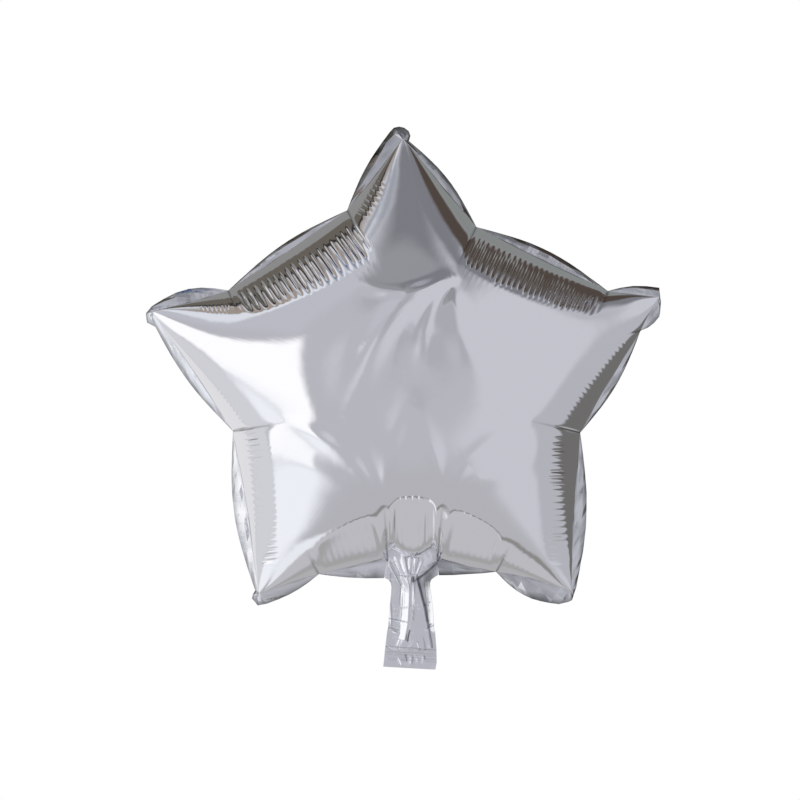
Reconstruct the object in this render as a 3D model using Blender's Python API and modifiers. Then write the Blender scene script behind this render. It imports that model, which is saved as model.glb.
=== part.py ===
# A silver star foil balloon, inflated, with its filling tail hanging below it.
# Metres, +Z up, front towards -Y. The origin is the star's centre in the plane of its seam.
# The tables are in millimetres, and MM turns them to metres.

import math

import bmesh
import bpy
import numpy as np
from mathutils import Vector

MM = 0.001

# Film. The real film is 0.03 mm thick, and the solid stands for it.
FILM = 2.0 * MM
HALF_DEPTH = 72.0 * MM  # from the seam's plane to the front of the dome
FLATTEN = 1.35  # over 1 makes the points flatter than the middle
COLLAR = 4.0 * MM  # the film leaves the seam square to its plane for this far
EDGE_STEP = 17.0 * MM  # longest side of a film facet along the seam
RINGS = (0.05, 0.13, 0.24, 0.37, 0.52, 0.68, 0.84)  # shares of the way in from the seam

# Sealed rim
RIM = 1.2 * MM  # thickness of the two films welded together
RIM_LAP = 2.6 * MM  # how far the rim reaches in under the film's edge
REST = 0.3 * MM  # gap between pieces that lie on each other
SEAM_GAP = RIM / 2 + REST  # from the seam's plane to the film's edge
ARC_STEPS = 8

# Neck and tail
NECK_TOP = -149.5 * MM
NECK_X = (-16.0 * MM, 27.0 * MM)  # where the seam opens into the neck
FOLD_Z = -174.0 * MM  # the tail folds forward and back about this line
FOLD_R = 0.5 * MM  # radius of the valve's rounded top end
FOLD_GAP = 0.5 * MM  # from there up to the throat, so that the tail can fold right up
THROAT_TOP = 7.0 * MM  # half depth of the gathered throat where it leaves the film
THROAT_FOOT = 0.3 * MM  # half depth at the fold
THROAT_FOOT_X = (-11.0 * MM, 23.0 * MM)
TAIL_TOP = FOLD_Z - 4.0 * MM
TAIL_END = -242.0 * MM
TAIL_TOP_X = (-12.5 * MM, 23.5 * MM)
TAIL_END_X = (-19.0 * MM, 25.5 * MM)
SIDE_SEAL = 5.0 * MM  # width of the weld down each side of the tail
SIDE_LAP = 2.0 * MM  # how far the tail's films lie over it
TAIL_FILM = 1.0 * MM
VALVE = 1.0 * MM  # thickness of the two valve films together
VALVE_X = (-5.5 * MM, 16.5 * MM)
VALVE_END = TAIL_END + 3.0 * MM

# The seam's corners, anticlockwise seen from the front. Columns: name, x and z in mm from
# the star's centre, and how far the sealed rim bows out beyond the side that follows, in mm.
CORNERS = (
    ("right_tip", 219, 79.5, 3.0),
    ("right_pinch", 175, 85, 9.0),
    ("top_right_pinch", 61, 140.5, 9.5),
    ("top_tip", -2.5, 217, 5.0),
    ("top_left_pinch", -51, 155, 7.2),
    ("left_pinch", -154, 85.5, 8.5),
    ("left_tip", -220, 67, 5.5),
    ("left_low_pinch", -150, -36.5, 9.0),
    ("lower_left_tip", -127.5, -177.5, 3.0),
    ("bottom_left_pinch", -75.5, -160.5, 1.5),
    ("neck_left", -16, -149.5, 0.0),
    ("neck_right", 27, -149.5, 1.0),
    ("bottom_right_pinch", 78, -158.5, 7.0),
    ("lower_right_tip", 143, -174.5, 7.5),
    ("right_low_pinch", 151, -38, 6.0),
    ("right_notch", 203.5, 50.5, 2.0),
)

# The outline of the blunt tab beyond each tip, and where the rim's outer edge ends at the neck.
# Columns: corner, then x and z of each point in mm.
TABS = (
    ("right_tip", (220, 63), (221.5, 74), (220, 88)),
    ("top_tip", (2.5, 216), (4.5, 223), (-3, 229), (-9.5, 228.5), (-14, 224)),
    ("left_tip", (-221, 72), (-226, 66), (-225.5, 58), (-218, 54)),
    ("lower_left_tip", (-131, -175), (-134.5, -181), (-129, -188), (-121, -186.5)),
    ("lower_right_tip", (133, -187), (144, -184.5), (148, -172)),
    ("neck_left", (-19, -164)),
    ("neck_right", (28.5, -161.5)),
)

# The rim's lobes. Columns: node name, first corner, last corner.
LOBES = (
    ("rim_bay_upper_right", "right_pinch", "top_right_pinch"),
    ("rim_point_top", "top_right_pinch", "top_left_pinch"),
    ("rim_bay_upper_left", "top_left_pinch", "left_pinch"),
    ("rim_point_left", "left_pinch", "left_low_pinch"),
    ("rim_point_lower_left", "left_low_pinch", "bottom_left_pinch"),
    ("rim_bay_bottom_left", "bottom_left_pinch", "neck_left"),
    ("rim_bay_bottom_right", "neck_right", "bottom_right_pinch"),
    ("rim_point_lower_right", "bottom_right_pinch", "right_low_pinch"),
    ("rim_point_right", "right_low_pinch", "right_pinch"),
)

NAMES = [corner[0] for corner in CORNERS]
POINTS = {name: Vector((x * MM, z * MM)) for name, x, z, bow in CORNERS}
BOWS = {name: bow * MM for name, x, z, bow in CORNERS}
TAB_POINTS = {tab[0]: [Vector(point) * MM for point in tab[1:]] for tab in TABS}


def clear_scene():
    for obj in list(bpy.data.objects):
        bpy.data.objects.remove(obj)


def material(name, colour, roughness, metallic):
    made = bpy.data.materials.new(name)
    made.use_nodes = True
    shader = made.node_tree.nodes["Principled BSDF"]
    shader.inputs["Base Color"].default_value = (*colour, 1.0)
    shader.inputs["Roughness"].default_value = roughness
    shader.inputs["Metallic"].default_value = metallic
    return made


def add(obj, collection, finish):
    collection.objects.link(obj)
    obj.data.materials.append(finish)
    return obj


def seam_outline():
    """The film's edge as points round the star, straight from corner to corner."""
    found = []
    for at, name in enumerate(NAMES):
        start = POINTS[name]
        end = POINTS[NAMES[(at + 1) % len(NAMES)]]
        steps = max(1, math.ceil((end - start).length / EDGE_STEP))
        found += [start.lerp(end, step / steps) for step in range(steps)]
    return np.array([tuple(point) for point in found])


def membrane(places, faces, fixed):
    """The deflection of a flat membrane under even pressure, 1 at most, held at the fixed points."""
    count = len(places)
    stiffness = np.zeros((count, count))
    load = np.zeros(count)
    for corner in range(3):
        at, left, right = faces[:, corner], faces[:, corner - 2], faces[:, corner - 1]
        to_left, to_right = places[left] - places[at], places[right] - places[at]
        twice_area = np.abs(to_left[:, 0] * to_right[:, 1] - to_left[:, 1] * to_right[:, 0])
        half_cotangent = (to_left * to_right).sum(axis=1) / twice_area / 2
        np.add.at(stiffness, (left, right), -half_cotangent)
        np.add.at(stiffness, (right, left), -half_cotangent)
        np.add.at(stiffness, (left, left), half_cotangent)
        np.add.at(stiffness, (right, right), half_cotangent)
        np.add.at(load, at, twice_area / 6)
    free = np.arange(fixed, count)
    deflection = np.zeros(count)
    deflection[free] = np.linalg.solve(stiffness[np.ix_(free, free)], load[free])
    return deflection / deflection.max()


def ring_faces(rings, around):
    """Triangles between rings of points, and from the last ring to the point after it."""
    faces = []
    for ring in range(rings - 1):
        for step in range(around):
            near, far = ring * around + step, ring * around + (step + 1) % around
            faces += [(near, far, far + around), (near, far + around, near + around)]
    last = (rings - 1) * around
    return faces + [(last + step, last + (step + 1) % around, rings * around) for step in range(around)]


def film(name, side, collection, finish):
    """Half of the envelope: a collar at the seam, then a dome as high as the root of the
    membrane's deflection, which is steep at the seam and comes to a ridge in each point."""
    outline = seam_outline()
    around = len(outline)
    flat = np.vstack([outline * (1 - share) for share in (0.0, *RINGS)] + [np.zeros((1, 2))])
    flat_faces = ring_faces(len(RINGS) + 1, around)
    rise = np.sqrt(1 - (1 - membrane(flat, np.array(flat_faces), around) ** FLATTEN) ** 1.5)
    height = SEAM_GAP + COLLAR + (HALF_DEPTH - SEAM_GAP - COLLAR) * rise
    flat = np.vstack([outline, flat])
    height = np.concatenate([np.full(around, SEAM_GAP), height])
    corners = [(x, side * y, z) for (x, z), y in zip(flat, height)]
    faces = ring_faces(len(RINGS) + 2, around)
    if side > 0:
        faces = [face[::-1] for face in faces]
    mesh = bpy.data.meshes.new(name)
    mesh.from_pydata(corners, [], faces)
    mesh.shade_smooth()
    obj = add(bpy.data.objects.new(name, mesh), collection, finish)
    wall = obj.modifiers.new("wall", "SOLIDIFY")
    wall.thickness = FILM
    wall.offset = -1.0
    return obj


def flat_piece(name, outline, thickness, y, collection, finish):
    """A plate of an outline of (x, z) points, its middle at y."""
    curve = bpy.data.curves.new(name, "CURVE")
    curve.dimensions = "2D"
    curve.fill_mode = "BOTH"
    curve.extrude = thickness / 2
    spline = curve.splines.new("POLY")
    spline.points.add(len(outline) - 1)
    for point, (x, z) in zip(spline.points, outline):
        point.co = (x, z, 0.0, 1.0)
    spline.use_cyclic_u = True
    obj = add(bpy.data.objects.new(name, curve), collection, finish)
    obj.location = (0.0, y, 0.0)
    obj.rotation_euler = (math.pi / 2, 0.0, 0.0)
    return obj


def inset(points, distance):
    """The line of points moved in towards the star's centre by distance, mitred at corners."""
    moved = []
    for at, point in enumerate(points):
        before, after = points[max(at - 1, 0)], points[min(at + 1, len(points) - 1)]
        first = (point - before if at else after - point).normalized()
        second = (after - point if at < len(points) - 1 else point - before).normalized()
        # Anticlockwise round the star, the way in is to the left of the line.
        inward = Vector((-first.y - second.y, first.x + second.x)).normalized()
        share = max(0.4, inward.dot(Vector((-second.y, second.x))))
        moved.append(point + inward * distance / share)
    return moved


def bowed(start, end, bow):
    """Points from start to end, bowed out by a half sine of that height."""
    along = end - start
    outward = Vector((along.y, -along.x)).normalized()
    shares = [step / ARC_STEPS for step in range(ARC_STEPS + 1)]
    return [start + along * share + outward * bow * math.sin(math.pi * share) for share in shares]


def rim_lobe(name, first, last, collection, finish):
    """The sealed rim from one pinch to the next: crescents outside the seam, with the tip's
    blunt tab where there is one, and a narrow lap inside it that carries both films."""
    at = NAMES.index(first)
    corners = [NAMES[at]]
    while corners[-1] != last:
        at = (at + 1) % len(NAMES)
        corners.append(NAMES[at])
    outer = []
    for start, end in zip(corners, corners[1:]):
        begin = TAB_POINTS[start][-1] if start in TAB_POINTS else POINTS[start]
        stop = TAB_POINTS[end][0] if end in TAB_POINTS else POINTS[end]
        outer += bowed(begin, stop, BOWS[start])
        if end in TAB_POINTS and end != last:
            outer += TAB_POINTS[end][1:-1]
    inner = inset([POINTS[corner] for corner in corners], RIM_LAP)
    # The ends stand back from the pinch, so that two lobes meet there with a gap.
    for line in (outer, inner):
        line[0] = line[0] + (line[1] - line[0]).normalized() * REST
        line[-1] = line[-1] + (line[-2] - line[-1]).normalized() * REST
    return flat_piece(name, outer + inner[::-1], RIM, 0.0, collection, finish)


def throat(collection, finish):
    """The gathered throat: it narrows from the seam's opening down to the fold line."""
    mesh = bpy.data.meshes.new("neck_throat")
    shape = bmesh.new()
    bmesh.ops.create_cube(shape, size=1.0)
    foot = FOLD_Z + FOLD_R + FOLD_GAP
    for corner in shape.verts:
        high, right = corner.co.z > 0, corner.co.x > 0
        half_depth = THROAT_TOP if high else THROAT_FOOT
        ends = NECK_X if high else THROAT_FOOT_X
        corner.co.x = ends[1] if right else ends[0]
        corner.co.y = math.copysign(half_depth, corner.co.y)
        corner.co.z = NECK_TOP - REST if high else foot
    shape.to_mesh(mesh)
    shape.free()
    return add(bpy.data.objects.new("neck_throat", mesh), collection, finish)


def tail_edges(z):
    """Where the tail's two sides are at height z."""
    share = (TAIL_TOP - z) / (TAIL_TOP - TAIL_END)
    return [top + (end - top) * share for top, end in zip(TAIL_TOP_X, TAIL_END_X)]


def tail_pieces(collection, finishes):
    """The tail below the fold line: two films welded down both sides, the valve between."""
    top_left, top_right = tail_edges(TAIL_TOP)
    end_left, end_right = tail_edges(TAIL_END)
    pieces = []
    for name, top, end, way in (
        ("tail_side_seal_left", top_left, end_left, 1),
        ("tail_side_seal_right", top_right, end_right, -1),
    ):
        width = way * SIDE_SEAL
        outline = ((top, TAIL_TOP), (top + width, TAIL_TOP), (end + width, TAIL_END), (end, TAIL_END))
        pieces.append(flat_piece(name, outline, RIM, 0.0, collection, finishes["seal"]))
    cover = SIDE_SEAL - SIDE_LAP
    outline = (
        (top_left + cover, TAIL_TOP),
        (top_right - cover, TAIL_TOP),
        (end_right - cover, TAIL_END),
        (end_left + cover, TAIL_END),
    )
    for name, side in (("tail_front_film", -1), ("tail_back_film", 1)):
        y = side * (SEAM_GAP + TAIL_FILM / 2)
        pieces.append(flat_piece(name, outline, TAIL_FILM, y, collection, finishes["film"]))
    pieces.append(valve(collection, finishes["valve"]))
    return pieces


def valve(collection, finish):
    """The valve sleeve in side view, a strip with a round top end on the fold line."""
    turns = [math.pi * step / ARC_STEPS for step in range(ARC_STEPS + 1)]
    outline = [(FOLD_R * math.cos(turn), FOLD_Z + FOLD_R * math.sin(turn)) for turn in turns]
    outline += [(-VALVE / 2, VALVE_END), (VALVE / 2, VALVE_END)]
    obj = flat_piece("valve_sleeve", outline, VALVE_X[1] - VALVE_X[0], 0.0, collection, finish)
    # The outline was drawn as (x, z); a quarter turn about Z lays its x along Y.
    obj.rotation_euler = (math.pi / 2, 0.0, math.pi / 2)
    obj.location = ((VALVE_X[0] + VALVE_X[1]) / 2, 0.0, 0.0)
    return obj


def hang_on_fold(pieces, collection):
    """Parents the tail's pieces to an empty on the fold line, which is the joint's axis."""
    fold = bpy.data.objects.new("tail_fold", None)
    fold.location = (0.0, 0.0, FOLD_Z)
    collection.objects.link(fold)
    for piece in pieces:
        piece.parent = fold
        piece.location = Vector(piece.location) - fold.location


def main():
    clear_scene()
    collection = bpy.data.collections.new("star_foil_balloon")
    bpy.context.scene.collection.children.link(collection)
    finishes = {
        "film": material("metallised film", (0.80, 0.80, 0.82), 0.08, 1.0),
        "seal": material("welded film", (0.72, 0.73, 0.76), 0.22, 1.0),
        "valve": material("clear valve film", (0.82, 0.84, 0.88), 0.25, 0.0),
    }
    film("front_film", -1, collection, finishes["film"])
    film("back_film", 1, collection, finishes["film"])
    for name, first, last in LOBES:
        rim_lobe(name, first, last, collection, finishes["seal"])
    throat(collection, finishes["film"])
    hang_on_fold(tail_pieces(collection, finishes), collection)


main()
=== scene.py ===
# Star foil balloon: the looks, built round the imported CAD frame.
# x runs right, z up and y away from the camera, and the star's seam lies in the plane y = 0.
# The tables hold millimetres, and every mesh is turned to metres as it is made.
import math

import bpy
import numpy as np
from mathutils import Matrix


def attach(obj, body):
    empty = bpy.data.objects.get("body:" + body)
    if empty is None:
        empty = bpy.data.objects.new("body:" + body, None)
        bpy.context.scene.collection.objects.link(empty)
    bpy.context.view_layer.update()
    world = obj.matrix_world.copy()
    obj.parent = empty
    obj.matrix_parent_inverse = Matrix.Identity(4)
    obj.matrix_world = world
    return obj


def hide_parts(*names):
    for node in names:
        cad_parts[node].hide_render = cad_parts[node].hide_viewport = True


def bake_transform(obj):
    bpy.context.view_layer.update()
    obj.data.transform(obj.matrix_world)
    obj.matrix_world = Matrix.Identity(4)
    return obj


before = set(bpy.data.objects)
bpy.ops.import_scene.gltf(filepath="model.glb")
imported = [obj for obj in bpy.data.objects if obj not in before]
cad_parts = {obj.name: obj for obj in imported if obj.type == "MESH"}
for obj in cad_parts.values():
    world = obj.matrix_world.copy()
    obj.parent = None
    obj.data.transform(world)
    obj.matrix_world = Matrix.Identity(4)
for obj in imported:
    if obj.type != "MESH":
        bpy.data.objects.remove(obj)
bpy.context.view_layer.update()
print("frame loaded")

millimetre = 0.001


# Small helpers

# An sRGB hex colour as linear values, fully opaque.
def linear(hexColour):
    parts = [int(hexColour[at:at + 2], 16) / 255 for at in (1, 3, 5)]
    return tuple(c / 12.92 if c <= 0.04045 else ((c + 0.055) / 1.055) ** 2.4 for c in parts) + (1.0,)


# Adds one shader node, sets its settings, and fills or links its inputs.
def addNode(tree, kind, inputs=None, **settings):
    node = tree.nodes.new("ShaderNode" + kind)
    for name, value in settings.items():
        setattr(node, name, value)
    for key, value in (inputs or {}).items():
        if isinstance(value, bpy.types.NodeSocket):
            tree.links.new(value, node.inputs[key])
        else:
            node.inputs[key].default_value = value
    return node


# 0 below low, 1 above high, and an S curve between them.
def smoothStep(low, high, value):
    share = np.clip((value - low) / (high - low), 0.0, 1.0)
    return share * share * (3.0 - 2.0 * share)


# A smooth uneven wave of about -1 to 1: three sines of unlike lengths.
def wobble(value, seed):
    return (0.5 * np.sin(value / 2.7 + 1.7 * seed) + 0.3 * np.sin(value / 1.31 + 2.9 * seed)
            + 0.2 * np.sin(value / 0.73 + 4.3 * seed))


# Samples an array along one axis at fractional places: a smooth cubic through its values, which
# are carried on past both ends as v0 + (v0 - v1) - (v2 - v1 - (v1 - v0)) / 2.
def cubicAt(values, places, axis):
    values = np.moveaxis(values, axis, 0)
    before = 2.5 * values[0] - 2 * values[1] + 0.5 * values[2]
    after = 2.5 * values[-1] - 2 * values[-2] + 0.5 * values[-3]
    padded = np.concatenate([before[None], values, after[None]])
    base = np.clip(np.floor(places).astype(int), 0, len(values) - 2)
    part = (places - base).reshape((-1,) + (1,) * (values.ndim - 1))
    first, second, third, fourth = (padded[base + step] for step in range(4))
    found = second + 0.5 * part * (third - first + part * (
        2 * first - 5 * second + 4 * third - fourth + part * (3 * (second - third) + fourth - first)))
    return np.moveaxis(found, 0, axis)


# Unit normals of a film's grid (rows, columns, 3), whose rows are closed rings: the cross
# product of the steps down and along it, turned to the side that the film faces.
def filmNormals(points, side):
    down = np.gradient(points, axis=0)
    along = (np.roll(points, -1, axis=1) - np.roll(points, 1, axis=1)) / 2
    normals = np.cross(down, along)
    normals /= np.maximum(np.linalg.norm(normals, axis=2, keepdims=True), 1e-12)
    return normals * np.where(normals[..., 1:2] * side < 0, -1.0, 1.0)


# Two triangles for each square a, b, c, d, whose corners are given as rows of indices.
def splitSquares(a, b, c, d):
    return np.concatenate([np.stack([a, b, c], 1), np.stack([a, c, d], 1)])


# A mesh object at the origin, from places in millimetres and triangles as rows of indices. The
# UV map is in millimetres of film, and the painted shade darkens the colour at each place.
def meshPiece(name, places, faces, material, smooth=True, normals=None, uv=None, paintedShade=None):
    mesh = bpy.data.meshes.new(name)
    mesh.vertices.add(len(places))
    mesh.vertices.foreach_set("co", (places * millimetre).astype(np.float32).ravel())
    mesh.loops.add(faces.size)
    mesh.loops.foreach_set("vertex_index", faces.astype(np.int32).ravel())
    mesh.polygons.add(len(faces))
    mesh.polygons.foreach_set("loop_start", np.arange(0, faces.size, 3, dtype=np.int32))
    mesh.polygons.foreach_set("use_smooth", np.full(len(faces), smooth))
    if uv is not None:
        layer = mesh.uv_layers.new(name="film")
        layer.uv.foreach_set("vector", uv[faces.ravel()].astype(np.float32).ravel())
    # Painted shade, kept on the points: how far the film's colour is darkened towards a dark colour.
    if paintedShade is not None:
        layer = mesh.attributes.new("painted_shade", "FLOAT", "POINT")
        layer.data.foreach_set("value", paintedShade.astype(np.float32).ravel())
    mesh.update(calc_edges=True)
    mesh.validate()
    if normals is not None:
        mesh.normals_split_custom_set_from_vertices(normals.astype(np.float32))
    piece = bpy.data.objects.new(name, mesh)
    bpy.context.scene.collection.objects.link(piece)
    mesh.materials.append(material)
    return piece


# The seam, repeated from the CAD frame

# Corners anticlockwise seen from the front. Columns: name, x, z, and the spacing of the film's
# columns on the side that follows, closest where the film is ribbed.
seamCorners = (
    ("rightTip", 219, 79.5, 1.5),
    ("rightPinch", 175, 85, 0.75),
    ("topRightPinch", 61, 140.5, 1.5),
    ("topTip", -2.5, 217, 0.95),
    ("topLeftPinch", -51, 155, 0.75),
    ("leftPinch", -154, 85.5, 1),
    ("leftTip", -220, 67, 1.2),
    ("leftLowPinch", -150, -36.5, 0.85),
    ("lowerLeftTip", -127.5, -177.5, 1.4),
    ("bottomLeftPinch", -75.5, -160.5, 1),
    ("neckLeft", -16, -149.5, 0.8),
    ("neckRight", 27, -149.5, 1),
    ("bottomRightPinch", 78, -158.5, 1.2),
    ("lowerRightTip", 143, -174.5, 0.85),
    ("rightLowPinch", 151, -38, 1.1),
    ("rightNotch", 203.5, 50.5, 1.4),
)
cornerNames = [corner[0] for corner in seamCorners]
cornerPlaces = np.array([corner[1:3] for corner in seamCorners])


# Start and end of the side that follows a corner.
def seamSide(at):
    return cornerPlaces[at], cornerPlaces[(at + 1) % len(cornerPlaces)]


# Materials

# Vacuum metallised film: a near mirror that is never quite flat, so reflections swim a little,
# with fine stretch lines that run away from the seam.
def metallisedFilm(name, look):
    material = bpy.data.materials.new(name)
    material.use_nodes = True
    tree = material.node_tree
    tree.nodes.clear()
    place = addNode(tree, "TexCoord")
    swim = addNode(tree, "TexNoise", {
        "Vector": place.outputs["Object"], "Scale": 1 / (look["swimSize"] * millimetre),
        "Detail": 2.0, "Roughness": 0.5})
    stretchPlace = addNode(tree, "Mapping", {
        "Vector": place.outputs["UV"],
        "Scale": (1 / look["lineWidth"], 1 / look["lineLength"], 1.0)})
    lines = addNode(tree, "TexNoise", {
        "Vector": stretchPlace.outputs["Vector"], "Scale": 1.0, "Detail": 3.0, "Roughness": 0.6})
    softBump = addNode(tree, "Bump", {
        "Height": swim.outputs["Fac"], "Strength": look["swimStrength"],
        "Distance": look["swimHeight"] * millimetre})
    bump = addNode(tree, "Bump", {
        "Height": lines.outputs["Fac"], "Strength": look["lineStrength"],
        "Distance": look["lineHeight"] * millimetre, "Normal": softBump.outputs["Normal"]})
    haze = addNode(tree, "MapRange", {
        "Value": swim.outputs["Fac"], "From Min": 0.3, "From Max": 0.7,
        "To Min": look["roughLow"], "To Max": look["roughHigh"]})
    # Painted shade: the base colour is mixed towards a dark colour by the painted shade attribute.
    paintedShade = addNode(tree, "Attribute", attribute_name="painted_shade")
    colour = addNode(tree, "Mix", {
        "Factor": paintedShade.outputs["Fac"], 6: linear(look["colour"]), 7: linear(look["paintedShadeColour"])},
        data_type="RGBA")
    shader = addNode(tree, "BsdfPrincipled", {
        "Base Color": colour.outputs[2], "Metallic": 1.0,
        "Roughness": haze.outputs["Result"], "Normal": bump.outputs["Normal"]})
    addNode(tree, "OutputMaterial", {"Surface": shader.outputs["BSDF"]})
    return material


# The painted shade attribute on a mesh darkens the film's colour towards the painted shade colour,
# standing in for the shade between layers or walls of film that face each other. Sizes, widths and
# heights are in millimetres: the reflections' swim, and the stretch lines, drawn coarser than real
# ones.
envelopeFilmLook = {
    "colour": "#f1f1f4", "paintedShadeColour": "#3a3b3f",
    "swimSize": 26.0, "swimStrength": 0.5, "swimHeight": 0.35,
    "lineWidth": 2.2, "lineLength": 60.0, "lineStrength": 0.25, "lineHeight": 0.08,
    "roughLow": 0.03, "roughHigh": 0.06,
}
weldedFilmLook = {
    "colour": "#eeeff3", "paintedShadeColour": "#5b5c60",
    "swimSize": 7.0, "swimStrength": 0.6, "swimHeight": 0.5,
    "lineWidth": 1.1, "lineLength": 9.0, "lineStrength": 0.5, "lineHeight": 0.12,
    "roughLow": 0.05, "roughHigh": 0.12,
}
envelopeFilm = metallisedFilm("metallised film, inflated", envelopeFilmLook)
weldedFilm = metallisedFilm("metallised film, heat sealed", weldedFilmLook)
print("film materials made")


# Envelope: the front and back films

envelope = {
    "halfDepth": 72.0,  # from the seam's plane to the top of the dome
    "flatten": 1.35,  # over 1 makes the points flatter than the middle
    "domeCurve": 1.5,  # the power in the height's formula
    "coarseStep": 4.5,  # spacing along the seam where the shape is solved
    "coarseRings": 44,
    "ringCrowding": 1.35,  # over 1 puts the rings closer near the seam
    "grooveFade": 1.8,  # how soon a crease's groove runs out along it
    "grooveRise": 12.0,  # how high the film stands where a groove has its full depth
    "foldRise": 30.0,  # and a soft fold its full height
    "foldEnds": (0.06, 0.7),  # how a soft fold fades: the share of its sine cut off, its power
    "paintedCreaseShade": 0.8,  # share by which a painted shade line darkens the film at the start of a crease
    "creaseLine": 0.8,  # half width of that painted shade line
    "mouth": 4.0,  # how far the film's edge stands off the seam's plane at the neck
    "mouthFade": (0.3, 0.7),  # share of the way to the centre over which that dies out
    "gather": 15.0,  # how far up the neck's gathers reach beside the creases
    "gatherMiddle": 0.12,  # share of that reach at the middle of the neck
    # Columns: share of the way in to the centre where a band of rings ends, rings, crowding.
    "bands": ((0.30, 40, 1.5), (0.55, 24, 1.0), (0.80, 18, 1.0), (0.94, 8, 1.0), (1.0, 4, 1.0)),
}

# Sharp creases that run in from the pinches. Columns: start x, z, end x, z, how hard they hold
# the film down, depth at the start, width.
creases = (
    (61, 140.5, 42, 101, 0.03, 3.5, 1.4),
    (-51, 155, -37, 124, 0.03, 3.5, 1.4),
    (-154, 85.5, -143, 64, 0.03, 2.2, 1.2),
    (-150, -36.5, -98, -28, 0.04, 4, 1.4),
    (151, -38, 104, -27, 0.04, 4, 1.4),
    (175, 85, 164, 64, 0.03, 2.2, 1.2),
    (203.5, 50.5, 191, 47, 0.03, 2.5, 1.2),
    (-75.5, -160.5, -85, -138, 0.04, 3, 1.3),
    (78, -158.5, 88, -134, 0.04, 2.5, 1.3),
    (-16, -149.5, -18.5, -97, 0.06, 5, 1.3),
    (27, -149.5, 30.5, -97, 0.06, 5, 1.3),
)

# Soft folds that fan out of the creases over the taut face: ridges, or valleys where the height
# is below 0. Columns: x, z of the start, the point it bends towards, the end, half width at the
# start and at the end, height.
folds = (
    ((-39, 88), (2, 74), (37, 93), 4, 4.5, 1.7),
    ((36.7, 91.7), (-30, 72), (-44, -24), 4, 11, 3.4),
    ((35, 88), (14, 66), (12, 20), 2, 4, 0.8),
    ((37, 88), (42, 55), (64, -10), 3.5, 12, 1.4),
    ((40, 95), (30, 80), (10, 50), 4, 6, -1.2),
    ((-98, -28), (-50, -48), (-22, -92), 4, 4.5, 1.1),
    ((104, -27), (56, -42), (33, -92), 4, 4.5, 1.1),
    ((-20, -88), (-44, -50), (-34, 12), 4, 10, -1.3),
    ((-18, -88), (-15, -42), (2, -8), 3, 7, 0.8),
    ((30, -88), (22, -40), (5, -10), 3, 7, 0.9),
    ((32, -90), (80, -74), (118, -52), 2.5, 9, 1.1),
    ((-21, -90), (-70, -76), (-104, -58), 2.5, 9, 0.9),
)

# Rolls of gathered film along the seam, flatter than the dome, with ribs across them. Columns:
# first corner of the side, share of the side where they start and end, how far in they reach
# there and there, the ribs' wavelength and height, and how far the roll sinks.
rolls = (
    ("rightPinch", 0.00, 1.00, 33, 44, 4.9, 1.05, 2.6),
    ("topTip", 0.50, 1.00, 16, 22, 4.7, 0.35, 0),
    ("topLeftPinch", 0.00, 1.00, 60, 34, 6.3, 0.80, 3.5),
    ("leftPinch", 0.00, 0.40, 22, 14, 3.6, 0.22, 0),
    ("leftTip", 0.70, 1.00, 16, 24, 4.4, 0.22, 0),
    ("leftLowPinch", 0.00, 0.85, 34, 26, 5.4, 0.42, 1),
    ("bottomLeftPinch", 0.00, 1.00, 28, 48, 5.6, 0.22, 4),
    ("neckLeft", 0.00, 1.00, 60, 60, 5, 0.40, 5),
    ("neckRight", 0.00, 1.00, 54, 36, 5.8, 0.20, 4),
    ("bottomRightPinch", 0.00, 0.45, 26, 20, 5, 0.15, 0),
    ("lowerRightTip", 0.15, 1.00, 26, 34, 5.6, 0.60, 1),
    ("rightLowPinch", 0.00, 0.85, 26, 20, 4.6, 0.20, 0),
)


# Points along the seam, straight from corner to corner, and how many each side has.
def coarseOutline(step):
    points, counts = [], []
    for at in range(len(seamCorners)):
        start, end = seamSide(at)
        count = max(2, int(round(np.hypot(*(end - start)) / step)))
        points.append(start + np.arange(count)[:, None] / count * (end - start))
        counts.append(count)
    return np.concatenate(points), counts


# Share of the way along a line's row, and distance from it, for an array of (x, z).
def alongLine(points, row):
    start, end = np.array(row[0:2]), np.array(row[2:4])
    way = end - start
    share = np.clip(((points - start) @ way) / (way @ way), 0.0, 1.0)
    return share, np.linalg.norm(points - start - share[..., None] * way, axis=-1)


# Heights of the soft folds: along each quadratic curve a bell of the distance from it,
# H exp(-(d / w)^2 / 2), that fades at both ends as a power of a sine.
def foldHeights(flat):
    total = np.zeros(flat.shape[:2])
    steps = np.linspace(0, 1, 40)
    cut, power = envelope["foldEnds"]
    for start, bend, end, here, there, height in folds:
        start, bend, end = (np.array(place) for place in (start, bend, end))
        t = steps[:, None]
        curve = (1 - t) ** 2 * start + 2 * (t * (1 - t)) * bend + t ** 2 * end
        margin = 3 * max(here, there)  # past which its bell is nothing
        near = np.all((flat > curve.min(0) - margin) & (flat < curve.max(0) + margin), axis=-1)
        places = flat[near]
        nearest, share = np.full(len(places), np.inf), np.zeros(len(places))
        for number in range(len(steps) - 1):
            part, distance = alongLine(places, (*curve[number], *curve[number + 1]))
            closer = distance < nearest
            nearest = np.where(closer, distance, nearest)
            share = np.where(closer, (number + part) / (len(steps) - 1), share)
        width = here + (there - here) * share
        fade = np.sin(np.pi * (cut + (1 - 2 * cut) * share)) ** power
        total[near] += height * fade * np.exp(-(nearest / width) ** 2 / 2)
    return total


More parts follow.
